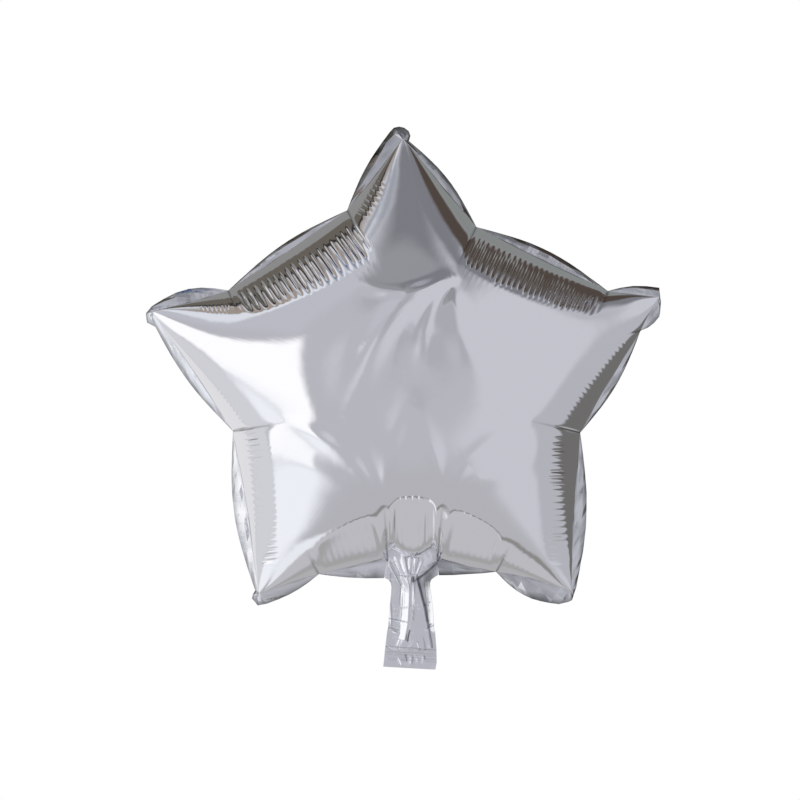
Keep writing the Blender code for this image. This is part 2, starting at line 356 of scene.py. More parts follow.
# Deflection u of a flat film under even pressure, held at the seam: its second derivatives in
# x and z add up to k u - 1, where k is high along the creases. It is solved on rings that
# shrink to the centre, which are eliminated one by one from the centre outwards.
def solveMembrane(outline, values):
    rings, around = values["coarseRings"], len(outline)
    share = (np.arange(rings + 1) / rings) ** values["ringCrowding"]
    flat = np.vstack([outline * (1 - part) for part in share[:-1]] + [np.zeros((1, 2))])
    index = np.arange(rings * around).reshape(rings, around)
    index = np.vstack([index, np.full((1, around), rings * around)])
    near, far = index[:-1].ravel(), index[1:].ravel()
    farNext, nearNext = np.roll(index[1:], -1, 1).ravel(), np.roll(index[:-1], -1, 1).ravel()
    faces = splitSquares(near, far, farNext, nearNext)
    faces = faces[faces[:, 1] != faces[:, 2]]
    load = np.zeros(len(flat))
    rows, columns, weights = [], [], []
    for corner in range(3):
        at, left, right = faces[:, corner], faces[:, corner - 2], faces[:, corner - 1]
        toLeft, toRight = flat[left] - flat[at], flat[right] - flat[at]
        twiceArea = np.abs(toLeft[:, 0] * toRight[:, 1] - toLeft[:, 1] * toRight[:, 0])
        half = (toLeft * toRight).sum(1) / np.maximum(twiceArea, 1e-9) / 2
        rows += [left, right, left, right]
        columns += [right, left, left, right]
        weights += [-half, -half, half, half]
        np.add.at(load, at, twiceArea / 6)
    hold = np.zeros(len(flat))
    for row in creases:
        along, distance = alongLine(flat, row)
        strength, width = row[4], row[6]
        bell = np.exp(-(distance / width) ** 2 / 2) / (width * math.sqrt(2 * math.pi))
        hold += strength * (1 - along) * bell
    everywhere = np.arange(len(flat))
    rows = np.concatenate(rows + [everywhere])
    columns = np.concatenate(columns + [everywhere])
    weights = np.concatenate(weights + [hold * load])
    ringOfRow, ringOfColumn = np.minimum(rows // around, rings), np.minimum(columns // around, rings)

    def block(row, column):
        chosen = (ringOfRow == row) & (ringOfColumn == column)
        made = np.zeros((1 if row == rings else around, 1 if column == rings else around))
        places = (rows[chosen] - row * around, columns[chosen] - column * around)
        np.add.at(made, places, weights[chosen])
        return made

    diagonal, force = block(rings, rings), load[rings * around:]
    kept = {}
    for ring in range(rings - 1, 0, -1):
        solved = np.linalg.solve(diagonal, np.column_stack([block(ring + 1, ring), force]))
        kept[ring + 1] = solved
        outward = block(ring, ring + 1)
        diagonal = block(ring, ring) - outward @ solved[:, :-1]
        force = load[ring * around:(ring + 1) * around] - outward @ solved[:, -1]
    found = np.zeros((rings + 1, around))
    found[1] = np.linalg.solve(diagonal, force)
    for ring in range(2, rings + 1):
        solved = kept[ring]
        found[ring] = solved[:, -1] - solved[:, :-1] @ found[ring - 1]
    return found / found.max()


# The film's columns: their places on the seam, the deflection down each, and the side each is
# on. A side has as many as its bands can halve, and is read by itself, because the rings of the
# coarse grid turn sharply at the corners.
def fineColumns(deflection, outline, counts):
    edges, found, sides, start = [], [], [], 0
    multiple = 2 ** (len(envelope["bands"]) - 1)
    for at, corner in enumerate(seamCorners):
        first, last = seamSide(at)
        count = multiple * math.ceil(np.hypot(*(last - first)) / (multiple * corner[3]))
        share = np.arange(count) / count
        taken = np.arange(start, start + counts[at] + 1) % len(outline)
        found.append(cubicAt(deflection[:, taken], share * counts[at], 1))
        edges.append(first + (last - first) * share[:, None])
        sides.append(np.full(count, at))
        start += counts[at]
    return np.concatenate(edges), np.concatenate(found, axis=1), np.concatenate(sides)


# Triangles between rings, where each band past the first has half the columns of the one
# before it, and the last closes on one point. Also gives each ring's first index and how many
# columns each of its points stands for.
def bandFaces(bands, around):
    faces, rings, first, step = [], [(0, 1)], 0, 1
    count = around
    for number, band in enumerate(bands):
        for row in range(band[1]):
            nextFirst = first + count
            here = np.arange(count)
            after = (here + 1) % count
            if number == len(bands) - 1 and row == band[1] - 1:
                pole = np.full(count, nextFirst)
                faces.append(np.stack([first + here, first + after, pole], 1))
                break
            if row == 0 and number > 0:
                step *= 2
                half = count // 2
                there = np.arange(half)
                a, b = first + 2 * there, first + 2 * there + 1
                c = first + (2 * there + 2) % count
                d, e = nextFirst + there, nextFirst + (there + 1) % half
                faces += [np.stack([a, b, d], 1), np.stack([b, e, d], 1), np.stack([b, c, e], 1)]
                count = half
            else:
                faces.append(splitSquares(
                    first + here, first + after, nextFirst + after, nextFirst + here))
            first = nextFirst
            rings.append((first, step))
    return np.concatenate(faces), rings


# How every roll is rounded off, and how unevenly its ribs run.
rollShape = {
    "ends": (0.03, 0.12),  # what the reach keeps at a side's ends, and the power it falls by
    "deepest": 110.0,  # no roll lies further in than this
    "border": 0.06,  # softness of the border to the taut face, as a share of the reach
    "weave": 0.016,  # how far that border follows the ribs
    "wander": 0.20,  # how unevenly the ribs follow one another, in wavelengths
    "tall": (0.80, 0.35),  # the ribs' mean height and its spread
    "long": 0.05,  # spread of their lengths
    "rise": (0.18, 0.55),  # shares of the reach between which they rise
    "sink": (0.72, 1.08),  # and between which they run out
    "dipEnd": 9.0,  # over what length a roll starts and ends
    "ribEnd": 4.0,  # and its ribs
}


# Heights that the rolls and their ribs add. With r the share of the reach that is left, rounded
# off where it runs out, a roll sinks by 4 D r (1 - r), so the taut face starts at a soft edge.
# A rib is A (cos a - cos(2 a) / 5), its crests rounder than its valleys, where a turns once in a
# wavelength and wavers a little.
def rollHeights(flat, seed):
    smooth, ribbed = np.zeros(flat.shape[:2]), np.zeros(flat.shape[:2])
    for number, row in enumerate(rolls):
        name, begin, end, reachHere, reachThere, wavelength, height, dip = row
        start, stop = seamSide(cornerNames.index(name))
        length = np.hypot(*(stop - start))
        way = (stop - start) / length
        along = (flat - start) @ way
        depth = (flat - start) @ np.array([-way[1], way[0]])
        key = seed + number
        share = np.clip((along / length - begin) / (end - begin), 0.0, 1.0)
        reach = reachHere + (reachThere - reachHere) * share
        least, roundness = rollShape["ends"]
        reach = reach * (4 * share * (1 - share) + least) ** roundness
        edge = np.minimum(along - begin * length, end * length - along)
        inside = (depth > 0) & (depth < rollShape["deepest"]) & (edge > 0)
        wander = rollShape["wander"] * wobble(along / 4.0, key)
        phase = 2 * math.pi * (along / wavelength + wander)
        wave = np.cos(phase) - 0.2 * np.cos(2 * phase)
        left = 1 - depth / (reach * (1 + rollShape["weave"] * wave))
        left = np.minimum((left + np.hypot(left, rollShape["border"])) / 2, 1.0)
        sunk = 4 * dip * left * (1 - left) * smoothStep(0.0, rollShape["dipEnd"], edge)
        smooth -= np.where(inside, sunk, 0.0)
        mean, spread = rollShape["tall"]
        uneven = mean + spread * wobble(along / 3.1, key + 5)
        far = reach * (1.0 + rollShape["long"] * wobble(along / 1.7, key + 7))
        (riseFrom, riseTo), (sinkFrom, sinkTo) = rollShape["rise"], rollShape["sink"]
        inward = smoothStep(riseFrom * reach, riseTo * reach, depth)
        inward = inward * (1 - smoothStep(sinkFrom * far, sinkTo * far, depth))
        ends = smoothStep(0.0, rollShape["ribEnd"], edge)
        ribbed += np.where(inside, height * wave * uneven * inward * ends, 0.0)
    return smooth, ribbed


# The film's height where it is gathered into the neck, and how far its edge stands open there:
# a gather that reaches G up the film holds it down by sqrt(1 - (G / z)^3), and G grows from
# the neck's middle out to the creases beside it.
def gatherNeck(flat, height, shares, columnSides):
    at = cornerNames.index("neckLeft")
    first, last = seamSide(at)
    neck = columnSides == at
    mouthShape = np.zeros(len(neck))
    mouthShape[neck] = np.sin(np.pi * (np.arange(neck.sum()) / neck.sum()))
    off = np.minimum(np.abs(2 * (flat[..., 0] - first[0]) / (last[0] - first[0]) - 1), 1.0)
    least = envelope["gatherMiddle"]
    gathered = envelope["gather"] * (least + (1 - least) * off ** 1.5) * (1 - off ** 8)
    above = np.maximum(flat[..., 1] - first[1], 0.01)
    height = height * np.sqrt(np.clip(1 - (gathered / above) ** 3, 0.0, 1.0))
    fade = 1 - smoothStep(*envelope["mouthFade"], shares)[:, None]
    opening = envelope["mouth"] * mouthShape * fade
    return np.sqrt(height ** 2 + opening ** 2), opening[0]


outline, outlineCounts = coarseOutline(envelope["coarseStep"])
membrane = solveMembrane(outline, envelope)
print("membrane solved")


# Half of the envelope. Its height over the seam's plane is H sqrt(1 - (1 - u)^1.5), where u is
# the membrane's deflection: flat in the middle and square to the plane at the seam, as film
# that can't stretch comes out. Creases and rolls sink into it, and folds and ribs stand on it.
def filmPiece(name, side, seed, replaced):
    shares = [0.0]
    for limit, rows, crowding in envelope["bands"]:
        low = shares[-1]
        shares += list(low + (limit - low) * (np.arange(1, rows + 1) / rows) ** crowding)
    shares = np.array(shares)
    coarsePlaces = shares ** (1 / envelope["ringCrowding"]) * envelope["coarseRings"]
    deflection = cubicAt(membrane, coarsePlaces, 0)
    edge, deflection, columnSides = fineColumns(deflection, outline, outlineCounts)
    flat = edge[None] * (1 - shares)[:, None, None]
    deflection = np.clip(deflection, 0, 1) ** envelope["flatten"]
    height = envelope["halfDepth"] * np.sqrt(1 - (1 - deflection) ** envelope["domeCurve"])
    kept = np.ones(height.shape)
    for row in creases:
        along, distance = alongLine(flat, row)
        groove, width = row[5:]
        sunk = groove * (1 - along) ** envelope["grooveFade"] * np.exp(-distance / width)
        height = height - sunk * smoothStep(0.0, envelope["grooveRise"], height)
        # Painted shade: a dark line painted down the start of each crease.
        bell = np.exp(-(distance / envelope["creaseLine"]) ** 2)
        kept = kept * (1 - envelope["paintedCreaseShade"] * (1 - along) * bell)
    height, opening = gatherNeck(flat, height, shares, columnSides)
    height = height + foldHeights(flat) * smoothStep(0.0, envelope["foldRise"], height)
    roll, ribbed = rollHeights(flat, seed)
    points = np.stack([flat[..., 0], side * (height + roll), flat[..., 1]], 2)
    points = points + filmNormals(points, side) * ribbed[..., None]
    points[0, :, 1] = side * opening
    normals = filmNormals(points, side)
    poleNormal = normals[-2].mean(0)
    normals[-1] = poleNormal / np.linalg.norm(poleNormal)
    faces, rings = bandFaces(envelope["bands"], len(edge))
    alongSeam = np.concatenate([[0], np.cumsum(np.linalg.norm(np.diff(edge, axis=0), axis=1))])
    inwardLength = np.linalg.norm(edge, axis=1)
    chosen = [(row, slice(None, None, step)) for row, (first, step) in enumerate(rings)]
    places = np.concatenate([points[row, pick] for row, pick in chosen] + [points[-1, :1]])
    facing = np.concatenate([normals[row, pick] for row, pick in chosen] + [normals[-1, :1]])
    uv = np.concatenate(
        [np.stack([alongSeam[pick], shares[row] * inwardLength[pick]], 1) for row, pick in chosen]
        + [np.array([[0.0, inwardLength[0]]])])
    paintedShade = 1 - np.concatenate([kept[row, pick] for row, pick in chosen] + [kept[-1, :1]])
    if side > 0:
        faces = faces[:, ::-1]
    piece = meshPiece(name, places, faces, envelopeFilm, normals=facing, uv=uv, paintedShade=paintedShade)
    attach(piece, "envelope")
    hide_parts(replaced)
    print(name, len(faces), "triangles")


filmPiece("frontFilm", -1.0, 1, "front_film")
filmPiece("backFilm", 1.0, 41, "back_film")


# Sealed rim: one crumpled lobe from pinch to pinch

# How far the rim bows out beyond the side that follows each corner.
rimBows = dict(zip(cornerNames, (
    3.0, 9.0, 6.5, 3.8, 7.2, 8.5, 5.5, 9.0, 3.0, 1.5, 0.0, 1.0, 7.0, 7.5, 6.0, 2.0)))

# The outline of the blunt tab beyond each tip, and where the rim's outer edge ends at the neck.
rimTabs = {
    "rightTip": ((220, 63), (221.5, 74), (220, 88)),
    "topTip": ((2.5, 216), (4.5, 223), (-3, 229), (-9.5, 228.5), (-14, 224)),
    "leftTip": ((-221, 72), (-226, 66), (-225.5, 58), (-218, 54)),
    "lowerLeftTip": ((-131, -175), (-134.5, -181), (-129, -188), (-121, -186.5)),
    "lowerRightTip": ((133, -187), (144, -184.5), (148, -172)),
    "neckLeft": ((-19, -164), (-19, -164)),
    "neckRight": ((28.5, -161.5), (28.5, -161.5)),
}

# Columns: node, first corner, last corner, crumple's height, size of its facets, lean of the
# outer edge back, how far that edge curls, and the painted shade that darkens the whole lobe.
rimLobes = (
    ("rim_bay_upper_right", "rightPinch", "topRightPinch", 0.8, 9, 3, 2.6, 0.12),
    ("rim_point_top", "topRightPinch", "topLeftPinch", 0.6, 8, 5, 3.4, 0.30),
    ("rim_bay_upper_left", "topLeftPinch", "leftPinch", 0.8, 10, 3, 2.6, 0.15),
    ("rim_point_left", "leftPinch", "leftLowPinch", 0.5, 9, 3.4, 1.8, 0),
    ("rim_point_lower_left", "leftLowPinch", "bottomLeftPinch", 1.3, 8, 3.2, 0.9, 0),
    ("rim_bay_bottom_left", "bottomLeftPinch", "neckLeft", 2.2, 7, 0, 0.9, 0),
    ("rim_bay_bottom_right", "neckRight", "bottomRightPinch", 1.8, 9, 2.6, 1.8, 0.30),
    ("rim_point_lower_right", "bottomRightPinch", "rightLowPinch", 2, 7, 2.2, 1.8, 0.12),
    ("rim_point_right", "rightLowPinch", "rightPinch", 1.1, 8, 0.6, 2.4, 0.12),
)

rim = {
    "lap": 1.2,  # how far inside the seam the strip starts
    "across": 3,  # facets across it
    "film": 0.12,  # its thickness, two films welded together
    "tabPoints": 5, "tabCrumple": 2.0,  # points round a tab, and how crumpled it is
    "uneven": 0.12,  # how far the facets' corners stray across the strip
    "crumple": (0.75, 0.55),  # random steps shared by a row of facets, and of each corner
    "flatEnds": 2.0,  # facets at each end over which the crumples die out
    "uvAcross": 8.0,  # its rough width, for the stretch lines
    "edgeStart": 0.6, "paintedEdgeShade": 0.5,  # where a painted shade line along the curled outer edge starts, and how dark it gets there
    "paintedFacetShade": 0.35,  # the most painted shade that a crumple's facet gets, at random
}


# A strip from inside the seam to its bowed outer edge, P + (Q - P) w, whose points are pushed out
# of the plane by random steps that grow with w, and whose edge curls as w^6.
def rimPiece(number, node, first, last, crumple, cell, lean, curl, paintedLobeShade):
    corner = cornerNames.index(first)
    inner, outer, loose = [], [], []
    while cornerNames[corner] != last:
        following = (corner + 1) % len(cornerNames)
        name, nextName = cornerNames[corner], cornerNames[following]
        start, end = seamSide(corner)
        begin = np.array(rimTabs[name][-1], float) if name in rimTabs else start
        stop = np.array(rimTabs[nextName][0], float) if nextName in rimTabs else end
        count = max(3, int(np.hypot(*(end - start)) / cell))
        share = np.linspace(0, 1, count)[:, None]
        way = (stop - begin) / np.hypot(*(stop - begin))
        outward = np.array([way[1], -way[0]])
        inner.append(start + (end - start) * share)
        outer.append(begin + (stop - begin) * share + outward * rimBows[name] * np.sin(np.pi * share))
        loose.append(np.full(count, crumple))
        if nextName in rimTabs and nextName != last:
            tab = np.array(rimTabs[nextName], float)
            run = np.concatenate([[0.0], np.cumsum(np.hypot(*np.diff(tab, axis=0).T))])
            places = np.linspace(0, run[-1], rim["tabPoints"] + 2)[1:-1]
            tab = np.stack([np.interp(places, run, tab[:, 0]), np.interp(places, run, tab[:, 1])], 1)
            inner.append(np.repeat(end[None], len(tab), 0))
            outer.append(tab)
            loose.append(np.full(len(tab), rim["tabCrumple"]))
        corner = following
    inner, outer, loose = np.concatenate(inner), np.concatenate(outer), np.concatenate(loose)
    inner = inner * (1 - rim["lap"] / np.linalg.norm(inner, axis=1, keepdims=True))
    count, across = len(inner), rim["across"] + 1
    random = np.random.default_rng(100 + number)
    share = np.linspace(0, 1, across)[None, :] + np.zeros((count, 1))
    share[:, 1:-1] += random.uniform(-rim["uneven"], rim["uneven"], (count, across - 2))
    flat = inner[:, None] + (outer - inner)[:, None] * share[..., None]
    steps = rim["crumple"][0] * random.uniform(-1, 1, (count, 1))
    steps = steps + rim["crumple"][1] * random.uniform(-1, 1, (count, across))
    rise = lean * share + curl * share ** 6 + steps * loose[:, None] * share ** 0.8
    fromEnd = np.minimum(np.arange(count), np.arange(count)[::-1])[:, None]
    rise *= np.minimum(1.0, fromEnd / rim["flatEnds"])
    places = np.stack([flat[..., 0], rise, flat[..., 1]], 2)
    index = np.arange(count * across).reshape(count, across)
    a, b = index[:-1, :-1].ravel(), index[1:, :-1].ravel()
    c, d = index[1:, 1:].ravel(), index[:-1, 1:].ravel()
    faces = splitSquares(a, b, c, d)
    uv = np.stack([np.repeat(np.arange(count) * cell, across), rim["uvAcross"] * share.ravel()], 1)
    # Painted shade: the whole lobe darkened, a dark line along the curled outer edge, and dark facets
    # at random.
    paintedShade = paintedLobeShade + rim["paintedEdgeShade"] * smoothStep(rim["edgeStart"], 1.0, share)
    paintedShade = paintedShade + rim["paintedFacetShade"] * random.uniform(0, 1, share.shape) ** 2
    places = places.reshape(-1, 3)
    piece = meshPiece(node + "_film", places, faces, weldedFilm, smooth=False, uv=uv, paintedShade=paintedShade)
    wall = piece.modifiers.new("weld", "SOLIDIFY")
    wall.thickness = rim["film"] * millimetre
    wall.offset = 0.0
    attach(piece, "envelope")
    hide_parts(node)


for number, row in enumerate(rimLobes):
    rimPiece(number, *row)
print("rim made")


# Neck and tail: one flattened tube of film that crosses the fold line

tail = {
    "foldZ": -174.0, "foldRoom": 9.0,  # where it folds, and the room that this takes up and down
    "across": 130, "down": 200,  # squares of its grid, and their rough size for the UV map
    "uvAcross": 0.35, "uvDown": 0.48,
    "topZ": -138.0, "endZ": -242.0, "endSlope": -2.6,
    "mouth": 6.0,  # half of its opening at the top
    "mouthZ": -149.5,  # down to which it is fully open
    "throat": -166.0,  # where the opening has closed
    "bulk": 1.3,  # distance between the two films below the throat
    "edgeRound": 0.4,  # how soon it is reached from the edges: lower is sooner
    "crinkle": (0.18, 0.20),  # crinkles' height, and what the welded end adds to it
    "stepLength": 9.0,  # how far a step's height runs on behind it
    "beads": 0.45,  # how unevenly a pressed fold stands
    "weldBands": (-226.5, -230.0, -234.5),  # lines pressed across the end
    "weldDepth": 0.5, "weldWidth": 0.7,
    "weldZ": (-224.0, -230.0),  # between which the welded end starts
    "weldThin": 0.6,  # share of the bulk that it presses out
}

# The tail's outline. Columns: z, x of its left edge and of its right edge.
tailOutline = (
    (-242, -19.8, 25.4), (-236, -19.2, 26.6), (-224, -18, 26.4), (-209.5, -16.3, 25.2),
    (-207.5, -15.6, 24.4), (-192, -14.4, 23.6), (-178, -13, 22), (-172, -12.7, 20.9),
    (-168, -13.3, 20.8), (-165.5, -15.3, 21.6), (-163.6, -18.6, 23.6), (-161, -18.7, 28),
    (-149.5, -16.2, 27.2), (-144, -15, 26), (-138, -12, 23),
)

# How far its front film stands forward of the fold's plane. Columns: z, then the height at each
# of the places across that tailPlaces gives.
tailPlaces = (0.0, 0.12, 0.26, 0.29, 0.35, 0.455, 0.48, 0.58, 0.70, 0.87, 0.905, 1.0)
tailHeights = (
    (-242, 0, 0.2, 0.3, 0.3, 0.3, 0.4, 0.3, 0.3, 0.2, 0.3, 0.3, 0),
    (-229, 0.1, 0.3, 0.3, 0.3, 0.4, 0.5, 0.5, 0.4, 0.4, 0.3, 0.3, 0.1),
    (-225, 0.3, 0.5, 0.2, 0.6, 1, 1.4, 1.2, 1.1, 0.8, 0.5, 0.4, 0.4),
    (-212, 0.6, 0.3, 0.1, 0.3, 1.3, 2.3, 1.6, 1.7, 1.4, 0.6, 0.8, 1.2),
    (-206, 0.3, 0.4, 0.2, 0.3, 1.4, 2.4, 1.5, 1.8, 1.4, 0.3, 0.8, 3),
    (-190, 0, 0.4, 0.1, 0.3, 1.5, 2.5, 1.4, 2, 1.5, 0.2, 0.9, 3.2),
    (-176, 0.2, 0.6, 0.1, 0.4, 1.6, 2.6, 1.4, 2, 1.4, 0.3, 1, 3),
    (-167, 0.4, 0.8, 0.5, 1, 2.2, 4.6, 2.2, 2.4, 0.6, 0.8, 1.2, 2.2),
    (-158, 0.3, 1.4, 2.4, 2.2, 4.2, 5, 2.8, 3.8, 1.8, 2.6, 1.4, 0.6),
    (-149.5, 0, 1.2, 2.6, 3.2, 3.8, 4.2, 4.4, 4.2, 3.4, 1.6, 1, 0),
    (-144, 2, 2.6, 3.2, 3.6, 4, 4.2, 4.2, 4, 3.6, 3, 2.6, 2),
    (-138, 4, 4, 4, 4, 4, 4, 4, 4, 4, 4, 4, 4),
)

# Folds pressed into it: a beaded ridge, or a step where the film to the left lies on top.
# Columns: x, z of the start and of the end, height, width, and whether it is a step.
tailFolds = (
    (-14, -150, -3, -171, 1.3, 1, False),
    (-3, -171, -4.5, -200, 0.5, 0.8, False),
    (25, -151, 8.7, -164, 1.6, 1.2, False),
    (9, -160, 15, -186, 3.8, 1.9, True),
    (15, -186, 22.3, -224, 3.4, 1.5, True),
    (4.9, -162, 2.5, -202, 3, 1.3, True),
    (2.5, -202, -0.5, -218, 3, 1.1, True),
    (-5, -211, -9, -224, -0.6, 0.7, False),
    (-9, -146, 0, -167, 1.2, 0.9, False),
    (-3.5, -142, 2, -165, 1.1, 0.9, False),
    (3.5, -138.5, 4, -167, 1.3, 1, False),
    (9, -141, 6, -165, 1.1, 0.9, False),
    (15.5, -145, 8, -164, 1.2, 0.9, False),
    (-15, -166, -12.5, -206, 0.5, 1, False),
    (-13.5, -209, -6, -212, 0.6, 0.8, False),
    (-16, -222, -7, -227, 0.6, 0.8, False),
    (19.5, -206, 24, -203, 0.6, 0.6, False),
    (2, -224, 6, -218, 0.5, 0.7, False),
    (10, -219, 12, -225, 0.5, 0.7, False),
    (3, -231.5, 3, -239, -0.5, 0.6, False),
    (8, -231.5, 9.5, -238, -0.4, 0.6, False),
    (14, -231.5, 14, -238, -0.5, 0.6, False),
    (-8, -232, -5, -239, -0.4, 0.7, False),
)

# Painted shade along its folds, dark lines in the film's colour. Columns: x, z of the start and of
# the end, half width at the start and at the end, and how dark the painted shade is.
paintedTailShadeLines = (
    (10.5, -164.5, 16.5, -187, 2.2, 1.1, 0.75),
    (16.5, -187, 23, -224, 1.1, 0.6, 0.75),
    (17, -160, 18.5, -200, 3.5, 1.8, 0.45),
    (25, -153, 18, -169, 4.5, 3.5, 0.62),
    (26.5, -151, 10, -165, 0.9, 0.9, 0.85),
    (26.5, -134, 27, -150, 0.8, 1, 0.85),
    (8, -165, 6, -200, 0.8, 0.9, 0.35),
    (3.2, -209.5, 1.2, -218.5, 0.7, 0.8, 0.95),
    (6, -163, 6.5, -166.5, 1, 1.4, 0.95),
    (-15, -150, -4.5, -170, 1.1, 0.9, 0.65),
    (-4.5, -170, -5, -200, 0.5, 0.5, 0.50),
    (-13.5, -160, -12.5, -206, 0.7, 0.6, 0.35),
    (-1.5, -144, 2, -160, 0.6, 0.6, 0.55),
    (11, -144, 8.5, -158, 0.8, 0.6, 0.45),
    (-19, -223, 26, -226, 0.5, 0.4, 0.40),
    (-19, -227.5, 26, -229.5, 0.4, 0.3, 0.25),
    (-6, -232.5, 26, -234, 0.3, 0.4, 0.22),
    (-17.5, -206, -7, -209, 0.5, 0.5, 0.55),
    (18, -207, 25, -204, 0.5, 0.5, 0.65),
    (10, -219, 12, -226, 0.5, 0.9, 0.35),
    (15, -215, 17, -226, 0.4, 0.9, 0.35),
    (0, -231, 1, -236, 0.7, 0.4, 0.70),
    (6.5, -232, 5.5, -239, 0.5, 0.4, 0.45),
    (16.5, -231.5, 16.5, -234, 0.6, 0.4, 0.65),
    (-20, -241.5, 26, -245, 0.9, 0.9, 0.45),
)


# Painted shade along the tail's folds: 1 - the product over the rows of 1 - darkness times a bell
# of the distance, exp(-(d / w)^2), whose middle line wavers a little.
def paintTailShade(flat):
    kept = np.ones(flat.shape[:2])
    x, z = flat[..., 0], flat[..., 1]
    astray = np.stack([0.5 * wobble(z / 3.2, 61), 0.5 * wobble(x / 3.7, 62)], -1)
    for row in paintedTailShadeLines:
        share, distance = alongLine(flat + astray, row)
        width = row[4] + (row[5] - row[4]) * share
        kept = kept * (1 - row[6] * np.exp(-(distance / width) ** 2))
    return 1 - kept


# The front film's points as a grid, and how far behind them the back film lies. x runs between
# the edges, and the height runs through the table, softened across, plus the pressed folds,
# H exp(-(d / w)^2) with beads, and crinkles, which are products of two wobbles.
def tailGrid(seed):
    across = np.linspace(0, 1, tail["across"] + 1)
    z = np.linspace(tail["topZ"], tail["endZ"], tail["down"] + 1)
    outline, table = np.array(tailOutline), np.array(tailHeights)
    rows = np.stack([np.interp(across, tailPlaces, heights) for heights in table[:, 1:]])
    soft = np.exp(-np.linspace(-2, 2, 9) ** 2)  # a bell that rounds the table's corners
    soft, margin = soft / soft.sum(), len(soft) // 2
    rows = np.stack([np.convolve(np.pad(row, margin, "edge"), soft, "valid") for row in rows])
    height = np.stack([np.interp(z, table[:, 0], rows[:, at]) for at in range(len(across))], 1)
    left, right = (np.interp(z, outline[:, 0], outline[:, column]) for column in (1, 2))
    x = left[:, None] + (right - left)[:, None] * across[None]
    down = (z - tail["topZ"]) / (tail["endZ"] - tail["topZ"])
    depth = z[:, None] + tail["endSlope"] * (across[None] - 0.5) * down[:, None] ** 2
    flat = np.stack([x, depth], -1)
    for number, (x0, z0, x1, z1, size, width, step) in enumerate(tailFolds):
        share, distance = alongLine(flat, (x0, z0, x1, z1))
        if step:
            signed = ((x - x0) * (z1 - z0) - (depth - z0) * (x1 - x0)) / math.hypot(x1 - x0, z1 - z0)
            raised = size * smoothStep(-width, width, signed) * np.exp(-distance / tail["stepLength"])
            height = height + np.where((share > 0) & (share < 1), raised, 0.0)
        else:
            ends = np.sin(np.pi * np.clip(share, 0.04, 0.96)) ** 0.5
            beads = 1 + tail["beads"] * wobble(share * 9, seed + 30 + number)
            height = height + size * ends * beads * np.exp(-(distance / width) ** 2)
    inner = np.sin(np.pi * across)[None] ** tail["edgeRound"]
    crinkle = wobble(x / 1.5 + 0.5 * depth, seed) * wobble(depth / 2.1 - 0.3 * x, seed + 2)
    endBand = smoothStep(*tail["weldZ"], z)[:, None]
    height = height + crinkle * (tail["crinkle"][0] + tail["crinkle"][1] * endBand) * inner
    for at in tail["weldBands"]:
        pressed = np.exp(-((z - at) / tail["weldWidth"]) ** 2)[:, None]
        height = height - tail["weldDepth"] * pressed * inner
    opening = 2 * tail["mouth"] * smoothStep(tail["throat"], tail["mouthZ"], z)[:, None]
    bulk = tail["bulk"] * inner * (1 - tail["weldThin"] * endBand)
    return np.stack([x, -height, depth], 2), opening * np.sin(np.pi * across)[None] + bulk


# A front grid and its back, that far behind it, joined down both edges: a flat tube with open
# ends.
def tubePiece(name, front, behind):
    back = front + behind[..., None] * np.array([0.0, 1.0, 0.0])
    ring = np.concatenate([front[:, :-1], back[:, :0:-1]], 1)
    rows, count = ring.shape[:2]
    index = np.arange(rows * count).reshape(rows, count)
    after = np.roll(index, -1, 1)
    a, b, c, d = index[:-1].ravel(), after[:-1].ravel(), after[1:].ravel(), index[1:].ravel()
    faces = np.concatenate([np.stack([a, c, b], 1), np.stack([a, d, c], 1)])
    uv = np.stack([np.tile(np.arange(count) * tail["uvAcross"], rows),
                   np.repeat(np.arange(rows) * tail["uvDown"], count)], 1)
    # Painted shade in the folds, darkening the tube's colour.
    paintedShade = paintTailShade(ring[..., ::2])
    return meshPiece(name, ring.reshape(-1, 3), faces, weldedFilm, uv=uv, paintedShade=paintedShade)


valve = {
    "across": (0.25, 0.80),  # its edges, as shares of the tail's width
    "rowsShort": 9,  # rows of the grid by which it stops short of the tail's end
    "behind": 0.4,  # its place behind the front film and its thickness, as shares of the gap
    "thick": 0.2,
}


# The tail's tube and the flat valve inside it, which follows the tube's middle.
def tailPieces():
    front, behind = tailGrid(3)
    piece = tubePiece("neckAndTail", front, behind)
    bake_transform(piece)
    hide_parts("neck_throat", "tail_front_film", "tail_back_film",
                "tail_side_seal_left", "tail_side_seal_right")
    low = np.searchsorted(-front[:, 0, 2], -tail["foldZ"] + tail["foldRoom"])
    left, right = (int(share * tail["across"]) for share in valve["across"])
    part = (slice(low, -valve["rowsShort"]), slice(left, right))
    middle, gap = front[part].copy(), behind[part]
    middle[..., 1] += valve["behind"] * gap
    sleeve = tubePiece("valveSleeve", middle, valve["thick"] * gap)
    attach(sleeve, "tail")
    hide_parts("valve_sleeve")


tailPieces()
print("tail made")


# Studio: surroundings that the film mirrors, a pale floor and the camera

